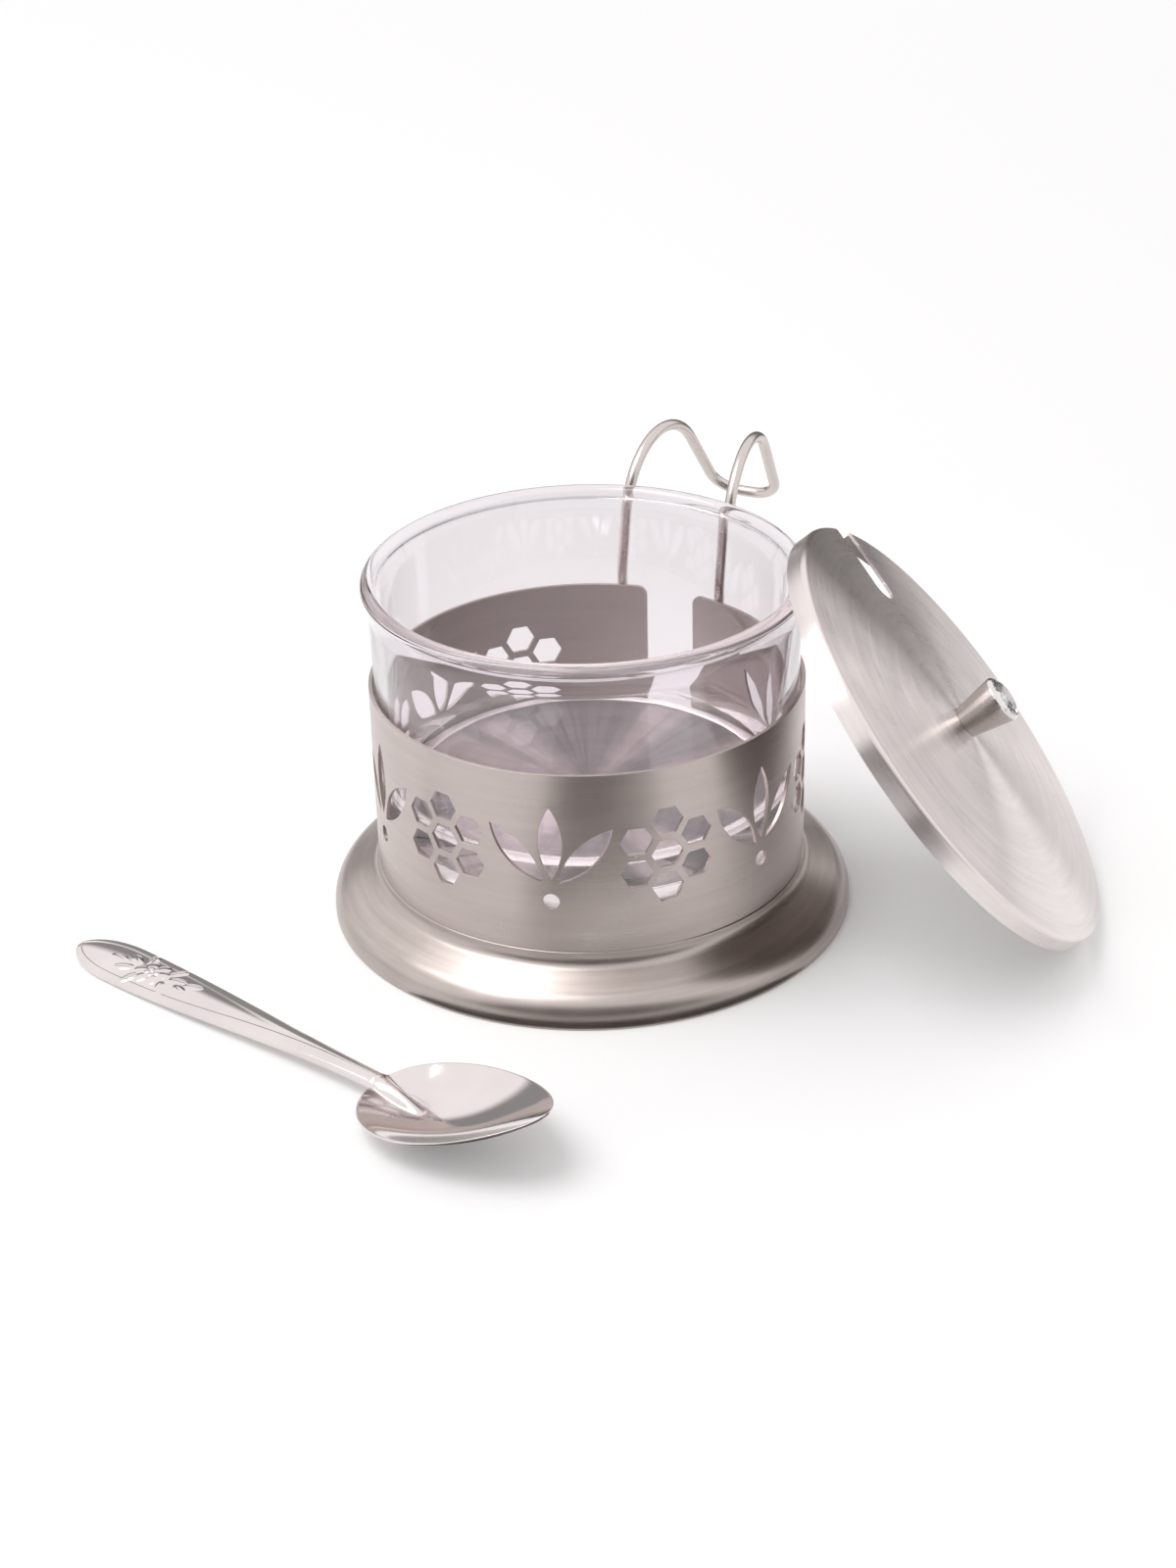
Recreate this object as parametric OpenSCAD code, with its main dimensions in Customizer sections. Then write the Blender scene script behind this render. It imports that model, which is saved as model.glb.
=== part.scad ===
// Honey dish: a glass cup in a pierced steel holder, with a notched lid and a teaspoon.
// The lid and the spoon lie beside the dish, as on a laid table.
// Origin: centre of the foot, on the table. +Z is up, and the front of the dish faces -Y.

/* [Glass cup] */
// Outer diameter of the wall just under the rim
glass_d = 93.6; // [76:0.2:114]
// How far the wall draws in from the rim to the bottom corner
glass_taper = 1.2; // [0:0.1:3]
// Height from the underside to the top of the rim
glass_h = 55.7; // [44:0.1:68]
// Thickness of the wall
glass_wall = 2.6; // [2:0.1:3.4]
// Thickness of the floor
glass_floor_t = 6.2; // [4:0.1:8]
// Radius of the outer bottom corner
glass_corner_r = 4; // [2:0.5:6]
// Radius of the inner bottom corner
glass_inner_r = 6; // [4:0.5:8]
// Thickness of the round bead along the rim
bead_d = 3.5; // [3:0.1:4.2]
// How far the bead stands out from the wall
bead_proud = 1.3; // [0.8:0.1:1.6]

/* [Foot] */
// Thickness of the spun steel sheet
sheet_t = 0.8; // [0.6:0.05:1]
// How far the flare reaches out from its neck
foot_reach = 10.1; // [8:0.1:13]
// Radius of the rolled edge
foot_roll_r = 6; // [4:0.1:8]
// Height of the straight hem that stands on the table
hem_h = 1.5; // [1:0.1:2.5]
// Width of the folded hem
hem_w = 1.8; // [1.4:0.1:2.4]
// Radius of the hollow between the roll and the neck
neck_fillet_r = 2.9; // [1:0.1:4]
// Slope of the flare between the hollow and the roll, in degrees
flare_slope = 26; // [10:1:35]
// Height of the neck above the hollow
neck_h = 0.9; // [0.8:0.1:3]
// How far the neck stands out past the band
neck_lip = 0.3; // [0.2:0.05:0.6]
// Height of the plate that carries the glass, above the band's seat
plate_rise = 11.1; // [8:0.1:14]
// Radius of the shoulder around the plate
plate_shoulder_r = 2.4; // [1.6:0.1:4]

/* [Band] */
// Height of the pierced band
band_h = 42.1; // [34:0.1:51]
// Thickness of the band
band_t = 0.8; // [0.6:0.05:1]
// Gap between the glass and the band, at the band's upper edge
band_clear = 0.45; // [0.3:0.05:0.8]
// Gap between the band and the foot's collar inside it
collar_clear = 0.05; // [0.03:0.01:0.15]
// Width of the open slot at the back of the band
slot_w = 12; // [8:0.5:16]
// Radius of the corners beside the slot
slot_corner_r = 2.2; // [1:0.1:3]
// Direction of the slot, in degrees to the right of straight back
slot_az = 25.5; // [0:0.5:45]

/* [Piercing] */
// Height of the middle of the piercing above the band's lower edge
pierce_z = 22; // [20:0.5:26]
// Motifs around the band, counting the two that the slot takes away
motif_count = 12; // [10:2:14]
// Width of one honeycomb cell across its flats
cell_w = 6.2; // [4:0.1:7]
// Width of the web between two cells
cell_web = 1.5; // [1:0.1:2]
// Length of a pierced leaf
leaf_len = 17; // [12:0.5:18]
// Width of a pierced leaf
leaf_w = 5.2; // [3:0.1:6]
// Angle between neighbouring leaves of a sprig
leaf_fan = 42; // [35:1:50]
// Width of the web left where the leaves of a sprig meet
leaf_web = 2.6; // [2:0.1:4]
// Diameter of the bud under a sprig
bud_d = 3.6; // [2.5:0.1:4.5]

/* [Spoon rest] */
// Diameter of the bent wire
wire_d = 2.5; // [2:0.1:3]
// Distance between the two legs
leg_spread = 25; // [20:0.5:30]
// Length of leg that is welded to the band
weld_len = 26; // [18:1:34]
// Gap between a leg and the band, filled by its welds
weld_gap = 0.05; // [0.03:0.01:0.1]
// How far a leg leans out between the band and the level of the rim
leg_lean = 4.8; // [3:0.1:6]
// Radius of the bend where a leg leaves the band
leg_bend_r = 14; // [8:1:20]
// Radius of the arch over the rim
arch_r = 17; // [12:0.5:20]
// Radius of the bends at the hook's outer end
hook_bend_r = 7; // [4:0.5:7]
// Width of the hook's outer end
hook_w = 15.5; // [13:0.5:18]
// How far the hook reaches out from the legs at the band
hook_reach = 46; // [40:0.5:54]
// How far the hook's outer end hangs below the rim
hook_drop = 18.6; // [12:0.2:22]
// Height above the rim where a leg and its hook would meet if the arch were sharp
arch_peak = 29.5; // [26:0.5:36]

/* [Lid] */
// Play between the rim and the lid's skirt, when the lid is on
lid_play = 4.2; // [3:0.1:5.5]
// Depth of the lid's skirt
skirt_h = 4.5; // [3.8:0.1:7]
// Thickness of the lid's sheet
lid_t = 0.7; // [0.5:0.05:0.9]
// Radius of the shoulder between skirt and top
lid_shoulder_r = 1.2; // [1:0.1:3.5]
// Rise of the top from the shoulder to the middle
dome_h = 2.6; // [1.5:0.1:4]
// Width of the notch for the spoon's handle
notch_w = 7.5; // [6:0.1:10]
// Length of the notch, from the lid's edge inwards
notch_len = 20; // [14:0.5:26]
// Direction of the notch on the lid, in degrees from its lowest point
notch_az = 142; // [90:1:180]

/* [Knob] */
// Diameter of the knob where it stands on the lid
knob_base_d = 7.2; // [5.8:0.1:8]
// Length of the knob
knob_h = 10.4; // [8.5:0.1:12]
// Width of the steel around the crystal
bezel_w = 0.8; // [0.5:0.05:1.2]
// Width of the flat lip next to the crystal
lip_w = 0.25; // [0.15:0.05:0.4]
// Height of the chamfer around the knob's end
bezel_h = 0.8; // [0.5:0.1:1.2]
// Diameter of the crystal across its girdle
crystal_d = 9; // [6.6:0.1:9.6]
// Diameter of the crystal's flat top
table_d = 5.2; // [3.5:0.1:6]
// Height of the crystal's crown above the knob
crown_h = 0.7; // [0.5:0.1:1.6]
// Thickness of the crystal's girdle
girdle_t = 0.6; // [0.4:0.1:0.8]
// Depth of the crystal's point below its girdle
pavilion_h = 1.8; // [1:0.1:2]
// Diameter of the flat at the crystal's point
culet_d = 1; // [0.6:0.1:1.6]
// Gap around the crystal in its cup
crystal_clear = 0.06; // [0.04:0.01:0.12]
// Thread diameter of the screw that holds the knob
screw_d = 3; // [2.5:0.1:3.2]
// Diameter of the screw's head
screw_head_d = 5.6; // [5:0.1:6.5]
// Height of the screw's head
screw_head_h = 1.9; // [1.4:0.1:2.4]
// Width of the slot in the screw's head
drive_w = 0.9; // [0.6:0.1:1.2]
// Depth of the slot in the screw's head
drive_depth = 0.9; // [0.5:0.1:1.2]
// Length of thread inside the knob
screw_grip = 4.4; // [3:0.1:5]
// Gap around the screw's thread
screw_clear = 0.06; // [0.04:0.01:0.15]
// Gap around the screw in the lid's hole
hole_clear = 0.2; // [0.1:0.05:0.4]

/* [Spoon] */
// Length of the spoon
spoon_len = 137; // [114:1:165]
// Length of the bowl
bowl_len = 45; // [37:0.5:55]
// Width of the bowl
bowl_w = 33.5; // [27:0.5:41]
// Depth of the bowl below its rim
bowl_depth = 5; // [4.2:0.1:6.2]
// Width of the handle at its broad end
handle_w = 13.4; // [11:0.1:16]
// Length over which the handle's end rounds off
handle_tip_len = 14; // [12:1:30]
// Width of the neck between handle and bowl
neck_w = 4.8; // [4:0.1:6]
// Thickness of the handle at its edges, and of the bowl at its middle
spoon_t = 1.2; // [1:0.1:1.6]
// Thickness of the bowl at its rim
bowl_edge_t = 0.6; // [0.5:0.1:1]
// Extra thickness along the middle of the handle
handle_crown = 1; // [0.6:0.1:1.6]
// Rise of the bowl's rim from the neck to the tip
tip_rise = 11.5; // [8:0.5:14]
// Sag of the bowl's rim between the neck and the tip
rim_sag = 2; // [0:0.1:3]

/* [Places on the table] */
// Direction in which the lid leans out, in degrees from +X
lid_lean_az = -7; // [-40:1:20]
// Half angle of the lid's edge that laps over the rim
lid_lap = 19; // [12:1:24]
// Gap between the lid and the rim that it leans on
lid_rest_gap = 0.3; // [0.2:0.05:0.5]
// Distance of the spoon's handle end to the left of the dish's middle
spoon_left = 113; // [100:1:150]
// Distance of the spoon's handle end in front of the dish's middle
spoon_front = 19; // [10:1:60]
// Direction of the spoon, in degrees from +X
spoon_az = -41.5; // [-48:0.5:-34]

/* [Hidden] */
$fn = 96;
steps = 10;
steel = [0.72, 0.69, 0.67];
polished = [0.8, 0.78, 0.76];

// Glass, from its underside up
glass_top_r = glass_d / 2;
glass_base_r = glass_top_r - glass_taper;
bead_r = bead_d / 2;
bead_z = glass_h - bead_r;
bead_c = glass_top_r + bead_proud - bead_r;
rim_r = bead_c + bead_r;
function glass_r_at(z) = glass_base_r + (glass_top_r - glass_base_r) * z / bead_z;

// Foot and band, from the table up
arc_reach = 1 - sin(flare_slope);
roll_r = min(foot_roll_r, foot_reach / arc_reach - neck_fillet_r);
flare_run = foot_reach - (roll_r + neck_fillet_r) * arc_reach;
hollow_z = hem_h + (roll_r + neck_fillet_r) * cos(flare_slope) + flare_run * tan(flare_slope);
seat_z = hollow_z + max(neck_h, sheet_t);
plate_z = seat_z + plate_rise;
band_top = seat_z + band_h;
band_in_r = glass_r_at(band_top - plate_z) + band_clear;
band_out_r = band_in_r + band_t;
collar_r = band_in_r - collar_clear;
neck_r = band_out_r + neck_lip;
foot_r = neck_r + foot_reach;
rim_z = plate_z + glass_h;
cut_reach = 4;

// Lid, in its own frame: middle of the skirt's edge at the origin, top side along +Z
lid_r = rim_r + lid_play + lid_t;
lid_top = skirt_h + dome_h;
knob_seat_r = knob_base_d / 2;
dome_run = lid_r - lid_shoulder_r - knob_seat_r;
dome_r = (dome_run * dome_run + dome_h * dome_h) / (2 * dome_h);
dome_angle = asin(dome_run / dome_r);
// The lid stands on the table and laps over the rim: its tilt and place follow from that
lap_cos = cos(lid_lap);
lid_tilt = asin((rim_z + lid_rest_gap) / (lid_r * (1 + lap_cos)));
lap_r = rim_r + lid_rest_gap;
lid_out = lid_r * cos(lid_tilt) * lap_cos + sqrt(lap_r * lap_r - pow(lid_r * sin(lid_lap), 2));

// Knob, from its base up
cup_r = crystal_d / 2 + crystal_clear;
cup_floor_r = culet_d / 2 + crystal_clear;
knob_top_r = cup_r + bezel_w;
bore_r = screw_d / 2 + screw_clear;
bore_end = screw_grip + 2 * screw_clear;
crystal_facets = 12;

// Spoon, along its own length from the handle's end
handle_len = spoon_len - bowl_len;
spoon_end_cut = 0.2;
spoon_rows = 46;
spoon_cols = 8;
// Shape of the bowl: how near the neck it is widest and deepest, how full, how narrow at its tip,
// how its walls flatten towards the rim, and how far from the tip its sheet begins to thin
widest_bias = 0.82;
outline_power = 0.5;
tip_narrowing = 0.13;
deepest_bias = 0.85;
dip_power = 0.9;
wall_power = 1.15;
thinning_power = 8;
neck_run = bowl_len / 6;
tongue_run = bowl_len / 4;

// Wire, in sides around and degrees of bend a step
wire_sides = 12;
bend_step = 10;

function unit(v) = v / norm(v);
function mix(a, b, f) = a + (b - a) * f;
function ease(f) = f * f * (3 - 2 * f);
function on_circle(a) = [cos(a), sin(a)];
// Points along an arc around c, from angle a to angle b
function arc(c, r, a, b) = [for (i = [0:steps]) c + r * on_circle(mix(a, b, i / steps))];

// Spun foot: folded hem, rolled edge, neck with the band's seat, collar and carrying plate
module foot() {
    roll_c = [foot_r - roll_r, hem_h];
    hollow_c = [neck_r + neck_fillet_r, hollow_z];
    shoulder_c = [collar_r - plate_shoulder_r, plate_z - plate_shoulder_r];
    outside = concat(
        [[foot_r, 0]], arc(roll_c, roll_r, 0, 90 - flare_slope),
        arc(hollow_c, neck_fillet_r, 270 - flare_slope, 180),
        [[neck_r, seat_z], [collar_r, seat_z]],
        arc(shoulder_c, plate_shoulder_r, 0, 90), [[0, plate_z]]
    );
    inside = concat(
        [[0, plate_z - sheet_t]], arc(shoulder_c, plate_shoulder_r - sheet_t, 90, 0),
        [[collar_r - sheet_t, seat_z - sheet_t], [neck_r - sheet_t, seat_z - sheet_t]],
        arc(hollow_c, neck_fillet_r + sheet_t, 180, 270 - flare_slope),
        arc(roll_c, roll_r - sheet_t, 90 - flare_slope, 0),
        [[foot_r - hem_w, hem_h], [foot_r - hem_w, 0]]
    );
    color(steel) rotate_extrude() polygon(concat(outside, inside));
}

// One cut straight through the band: x runs along its sheet, y up from the piercing's middle
module through_band(turn) {
    rotate([0, 0, turn])
        translate([band_in_r - cut_reach, 0, seat_z + pierce_z])
            rotate([90, 0, 90]) linear_extrude(band_t + 2 * cut_reach) children();
}

// One cell of honeycomb, with a flat at its top and bottom
module cell_shape() {
    circle(d = cell_w / cos(30), $fn = 6);
}

// Seven cells of honeycomb, six of them around the first
module honeycomb_motif() {
    pitch = cell_w + cell_web;
    cell_shape();
    for (a = [30:60:330])
        translate(pitch * on_circle(a)) cell_shape();
}

// A pointed leaf: where two round discs overlap, standing on its point
module leaf_shape() {
    disc_r = (leaf_len * leaf_len / leaf_w + leaf_w) / 4;
    shift = disc_r - leaf_w / 2;
    translate([0, leaf_len / 2]) intersection() {
        translate([shift, 0]) circle(disc_r);
        translate([-shift, 0]) circle(disc_r);
    }
}

// Three leaves that fan out from one foot, over a small round bud
module sprig_motif() {
    sprig_drop = leaf_len / 2 - leaf_web / 2;
    translate([0, -sprig_drop]) {
        for (i = [-1:1])
            rotate([0, 0, leaf_fan * i]) translate([0, leaf_web]) leaf_shape();
        translate([0, -leaf_web]) circle(d = bud_d);
    }
}

// Open slot with rounded corners at the band's upper edge, measured from the piercing's middle
module slot_shape() {
    upper = band_h - pierce_z;
    translate([-slot_w / 2, -pierce_z - cut_reach]) square([slot_w, band_h + 2 * cut_reach]);
    for (side = [-1, 1])
        difference() {
            translate([side * slot_w / 2 - (side < 0 ? slot_corner_r : 0), upper - slot_corner_r])
                square([slot_corner_r, slot_corner_r + cut_reach]);
            translate([side * (slot_w / 2 + slot_corner_r), upper - slot_corner_r]) circle(slot_corner_r);
        }
}

// Pierced band: a strip rolled into an open ring around the foot's collar, its slot turned to the back
module band() {
    pitch_az = 360 / motif_count;
    color(steel) rotate([0, 0, 90 - slot_az]) difference() {
        translate([0, 0, seat_z]) cylinder(h = band_h, r = band_out_r);
        translate([0, 0, seat_z - cut_reach]) cylinder(h = band_h + 2 * cut_reach, r = band_in_r);
        through_band(0) slot_shape();
        for (i = [1:motif_count - 2])
            through_band(-pitch_az * (i + 0.5))
                if (i % 2 == 0) honeycomb_motif(); else sprig_motif();
    }
}

// Points of a wire's bend of radius r at corner c, between the runs that come from a and go to b
function wire_bend(a, c, b, r) =
    let (
        u = unit(a - c),
        v = unit(b - c),
        half = acos(u * v) / 2,
        turn = 180 - 2 * half,
        middle = c + unit(u + v) * r / sin(half),
        x = unit(c + u * r / tan(half) - middle),
        y = cross(unit(cross(v, u)), x),
        count = ceil(turn / bend_step)
    )
    [for (i = [0:count]) middle + r * (cos(turn * i / count) * x + sin(turn * i / count) * y)];

// Directions along a path, and across it without twist
function along(path, i) = unit(path[min(i + 1, len(path) - 1)] - path[max(i - 1, 0)]);
function across(path, done) =
    len(done) == len(path)
        ? done
        : let (t = along(path, len(done)), last = done[len(done) - 1])
            across(path, concat(done, [unit(last - (last * t) * t)]));

// Round wire of diameter d along a path that starts at right angles to the direction side
module wire(path, d, side) {
    sides = across(path, [side]);
    points = [
        for (i = [0:len(path) - 1]) for (k = [0:wire_sides - 1])
            let (w = cross(along(path, i), sides[i]), a = 360 * k / wire_sides)
                path[i] + d / 2 * (cos(a) * sides[i] + sin(a) * w)
    ];
    skin = [
        for (i = [0:len(path) - 2]) for (k = [0:wire_sides - 1])
            let (a = i * wire_sides, b = a + wire_sides, n = (k + 1) % wire_sides)
                each [[a + k, b + k, b + n], [a + k, b + n, a + n]]
    ];
    last = (len(path) - 1) * wire_sides;
    ends = [
        for (k = [1:wire_sides - 2]) each [[0, k, k + 1], [last, last + k + 1, last + k]]
    ];
    polyhedron(points, concat(skin, ends));
}

// Spoon rest: one wire, welded to the back of the band by two legs, arched over into a hook
module spoon_rest() {
    leg_r = sqrt(pow(band_out_r + weld_gap + wire_d / 2, 2) - pow(leg_spread / 2, 2));
    lean = leg_lean / (rim_z - band_top);
    foot_pt = [leg_spread / 2, leg_r, band_top - weld_len];
    edge_pt = [leg_spread / 2, leg_r, band_top + leg_bend_r * lean];
    peak_pt = [leg_spread / 2, leg_r + lean * (rim_z + arch_peak - band_top), rim_z + arch_peak];
    hook_pt = [hook_w / 2, leg_r + hook_reach, rim_z - hook_drop];
    far_pt = [-hook_pt.x, hook_pt.y, hook_pt.z];
    half_path = concat(
        [foot_pt],
        wire_bend(foot_pt, edge_pt, peak_pt, leg_bend_r),
        wire_bend(edge_pt, peak_pt, hook_pt, arch_r),
        wire_bend(peak_pt, hook_pt, far_pt, hook_bend_r)
    );
    other_half = [for (i = [len(half_path) - 1:-1:0]) [-half_path[i].x, half_path[i].y, half_path[i].z]];
    color(steel) rotate([0, 0, -slot_az]) wire(concat(half_path, other_half), wire_d, [1, 0, 0]);
}

// Pressed glass cup with a thick floor and a round bead along its rim, standing on the foot's plate
module glass_cup() {
    in_r = glass_r_at(glass_floor_t + glass_inner_r) - glass_wall;
    corner_c = [glass_base_r - glass_corner_r, glass_corner_r];
    inner_c = [in_r - glass_inner_r, glass_floor_t + glass_inner_r];
    wall = concat(
        [[0, 0]], arc(corner_c, glass_corner_r, 270, 360), [[glass_top_r, bead_z]],
        arc([bead_c, bead_z], bead_r, 0, 180), [[glass_top_r - glass_wall, bead_z - bead_r]],
        arc(inner_c, glass_inner_r, 360, 270), [[0, glass_floor_t]]
    );
    color([0.85, 0.93, 0.95, 0.5]) translate([0, 0, plate_z]) rotate_extrude() union() {
        polygon(wall);
        translate([bead_c, bead_z]) circle(bead_r);
    }
}

// Puts a piece of the lid where the lid leans: its edge on the table and over the rim
module leaning() {
    rotate([0, 0, lid_lean_az])
        translate([lid_out, 0, lid_r * sin(lid_tilt)])
            rotate([0, lid_tilt, 0]) children();
}

// Lid: a shallow pan with a notch for the spoon's handle and a hole for the knob's screw
module lid_pan() {
    dome_c = [knob_seat_r, lid_top - dome_r];
    shoulder_c = [lid_r - lid_shoulder_r, skirt_h - lid_shoulder_r];
    inner_shoulder_r = lid_shoulder_r - lid_t;
    profile = concat(
        [[0, lid_top]], arc(dome_c, dome_r, 90, 90 - dome_angle),
        arc(shoulder_c, lid_shoulder_r, 90, 0),
        [[lid_r, 0], [lid_r - lid_t, 0]],
        arc(shoulder_c, inner_shoulder_r, 0, 90),
        arc(dome_c, dome_r - lid_t, 90 - dome_angle, 90), [[0, lid_top - lid_t]]
    );
    color(steel) leaning() difference() {
        rotate_extrude() polygon(profile);
        translate([0, 0, lid_top - cut_reach])
            cylinder(h = 2 * cut_reach, d = screw_d + 2 * hole_clear, $fn = 32);
        rotate([0, 0, notch_az]) translate([lid_r - notch_len + notch_w / 2, 0, -cut_reach]) {
            cylinder(h = lid_top + 2 * cut_reach, d = notch_w, $fn = 48);
            translate([0, -notch_w / 2, 0]) cube([notch_len, notch_w, lid_top + 2 * cut_reach]);
        }
    }
}

// Tapered knob with a cup for its crystal and a threaded bore for its screw
module lid_knob() {
    girdle_z = knob_h - girdle_t;
    cup_floor_z = girdle_z - pavilion_h;
    color(steel) leaning() translate([0, 0, lid_top]) rotate_extrude() polygon([
        [bore_r, 0], [knob_base_d / 2, 0],
        [knob_top_r, knob_h - bezel_h], [cup_r + lip_w, knob_h], [cup_r, knob_h],
        [cup_r, girdle_z], [cup_floor_r, cup_floor_z], [0, cup_floor_z],
        [0, bore_end], [bore_r, bore_end]
    ]);
}

// Cut crystal: a girdle with a faceted crown above it and a faceted point below
module knob_crystal() {
    point_h = pavilion_h - crystal_clear;
    $fn = crystal_facets;
    color([0.9, 0.95, 1, 0.6]) leaning() translate([0, 0, lid_top + knob_h - girdle_t]) {
        cylinder(h = girdle_t, d = crystal_d);
        translate([0, 0, girdle_t]) cylinder(h = crown_h, d1 = crystal_d, d2 = table_d);
        translate([0, 0, -point_h]) cylinder(h = point_h, d1 = culet_d, d2 = crystal_d);
    }
}

// Screw from beneath the lid into the knob
module knob_screw() {
    under = lid_top - lid_t;
    color(polished) leaning() difference() {
        union() {
            translate([0, 0, under]) cylinder(h = lid_t + screw_grip, d = screw_d, $fn = 32);
            translate([0, 0, under - screw_head_h]) cylinder(h = screw_head_h, d = screw_head_d, $fn = 48);
        }
        translate([-screw_head_d, -drive_w / 2, under - screw_head_h - drive_depth])
            cube([2 * screw_head_d, drive_w, 2 * drive_depth]);
    }
}

// Share f of the bowl's length, a distance x from the end of the handle
function bowl_share(x) = (x - handle_len) / bowl_len;

// Half width of the spoon, a distance x from the end of its handle
function handle_half(x) = x < handle_tip_len
    ? handle_w / 2 * sqrt(1 - pow(1 - x / handle_tip_len, 2))
    : mix(handle_w, neck_w, ease((x - handle_tip_len) / (handle_len - handle_tip_len))) / 2;
function bowl_half(f) =
    bowl_w / 2 * pow(sin(180 * pow(f, widest_bias)), outline_power) * (1 - tip_narrowing * f);
function spoon_half(x) = x < handle_len
    ? handle_half(x)
    : max(bowl_half(bowl_share(x)), neck_w / 2 * (1 - (x - handle_len) / neck_run));

// Depth of the bowl below its rim, and height of that rim above the neck
function bowl_dip(f) = bowl_depth * pow(sin(180 * pow(f, deepest_bias)), dip_power);
function bowl_rim(f) = tip_rise * f - rim_sag * sin(180 * f);
// The handle rises to the neck just so far that its end and the bowl both touch the table
neck_rise = -min([for (i = [0:spoon_rows]) let (f = i / spoon_rows) bowl_rim(f) - bowl_dip(f)]);

// Height of the spoon's edge and of its middle surface, half its sheet's thickness, and its crown
function edge_z(x) = x < handle_len
    ? neck_rise * ease(x / handle_len)
    : neck_rise + bowl_rim(bowl_share(x));
function middle_z(x, s) =
    edge_z(x) - (x < handle_len ? 0 : bowl_dip(bowl_share(x)) * pow(1 - s * s, wall_power));
function half_t(x, s) = x < handle_len
    ? spoon_t / 2
    : let (towards_rim = 1 - (1 - s * s) * (1 - pow(bowl_share(x), thinning_power)))
        mix(spoon_t, bowl_edge_t, towards_rim * ease(min(1, (x - handle_len) / neck_run))) / 2;
function extra_t(x, s) = handle_crown * (1 - s * s)
    * (x < handle_len ? 1 : max(0, 1 - (x - handle_len) / tongue_run));

// Rows run from the handle's end to the tip, closest together at both ends
function row_x(i) = mix(spoon_end_cut, spoon_len - spoon_end_cut, (1 - cos(180 * i / spoon_rows)) / 2);
function row_s(j) = 2 * j / spoon_cols - 1;
spoon_floor = min([
    for (i = [0:spoon_rows]) for (j = [0:spoon_cols]) middle_z(row_x(i), row_s(j)) - half_t(row_x(i), row_s(j))
]);

// Teaspoon: one stamped piece, lying bowl up with its handle's end on the table
module spoon() {
    loop = 2 * (spoon_cols + 1);
    points = [
        for (i = [0:spoon_rows]) each concat(
            [for (j = [0:spoon_cols]) let (x = row_x(i), s = row_s(j))
                [x, s * spoon_half(x), middle_z(x, s) + half_t(x, s) + extra_t(x, s)]],
            [for (j = [spoon_cols:-1:0]) let (x = row_x(i), s = row_s(j))
                [x, s * spoon_half(x), middle_z(x, s) - half_t(x, s)]]
        )
    ];
    sides = [
        for (i = [0:spoon_rows - 1]) for (j = [0:loop - 1]) let (k = (j + 1) % loop)
            each [
                [i * loop + j, i * loop + k, (i + 1) * loop + j],
                [i * loop + k, (i + 1) * loop + k, (i + 1) * loop + j]
            ]
    ];
    last = spoon_rows * loop;
    ends = [
        for (j = [0:spoon_cols - 1]) let (k = loop - 1 - j)
            each [
                [j + 1, j, k], [j + 1, k, k - 1],
                [last + j, last + j + 1, last + k], [last + j + 1, last + k - 1, last + k]
            ]
    ];
    color(polished) translate([-spoon_left, -spoon_front, -spoon_floor]) rotate([0, 0, spoon_az])
        polyhedron(points, concat(sides, ends));
}

foot();
band();
spoon_rest();
glass_cup();
lid_pan();
lid_knob();
knob_crystal();
knob_screw();
spoon();
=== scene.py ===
# A honey dish for the table: a glass cup in a pierced steel holder, with its lid and a teaspoon.
import math
import bmesh
import bpy
from mathutils import Matrix, Vector


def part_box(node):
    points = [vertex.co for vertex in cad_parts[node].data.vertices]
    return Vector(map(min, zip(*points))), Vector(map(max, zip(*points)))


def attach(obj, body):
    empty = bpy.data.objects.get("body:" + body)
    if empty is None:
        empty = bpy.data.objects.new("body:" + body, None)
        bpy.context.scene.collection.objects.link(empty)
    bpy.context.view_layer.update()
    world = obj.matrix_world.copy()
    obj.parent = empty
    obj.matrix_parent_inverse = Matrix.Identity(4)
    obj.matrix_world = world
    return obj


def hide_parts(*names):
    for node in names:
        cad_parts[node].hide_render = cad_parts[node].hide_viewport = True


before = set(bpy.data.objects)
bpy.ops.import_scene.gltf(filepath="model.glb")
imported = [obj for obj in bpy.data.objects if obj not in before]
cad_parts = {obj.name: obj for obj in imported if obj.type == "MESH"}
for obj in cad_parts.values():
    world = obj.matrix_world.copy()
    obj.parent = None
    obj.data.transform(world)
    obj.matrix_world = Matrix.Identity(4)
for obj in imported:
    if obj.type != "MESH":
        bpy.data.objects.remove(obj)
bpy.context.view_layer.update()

# The foot is spun from one disc of steel: a folded hem stands on the table, the edge rolls over it to
# a narrow neck, and a raised plate inside the band carries the glass. It is left satin from the lathe.
mm = 0.001
same_point, near_point, map_len = 1e-7, 1e-6, 100 * mm
foot_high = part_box("foot")[1]
foot_r, plate_z = foot_high.x, foot_high.z
sheet_t = 0.8 * mm
foot_reach, flare_slope = 10.1 * mm, 26
roll_r, hollow_r = 6 * mm, 2.9 * mm
hem_h, hem_w, hem_round = 1.5 * mm, 1.8 * mm, 0.35 * mm
neck_h, neck_round, neck_step = 0.9 * mm, 0.3 * mm, 1.15 * mm
shoulder_r = 2.4 * mm
neck_r = foot_r - foot_reach
collar_r = neck_r - neck_step
slope = math.radians(flare_slope)
arcs_reach = (roll_r + hollow_r) * (1 - math.sin(slope))
hollow_z = hem_h + (roll_r + hollow_r) * math.cos(slope) + (foot_reach - arcs_reach) * math.tan(slope)
seat_z = hollow_z + neck_h


def arc(middle, radius, start, end, count=14):
    """Points along an arc in the plane of radius and height, between two angles in degrees."""
    angles = [math.radians(start + (end - start) * i / count) for i in range(count + 1)]
    return [(middle[0] + radius * math.cos(a), middle[1] + radius * math.sin(a)) for a in angles]


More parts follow.
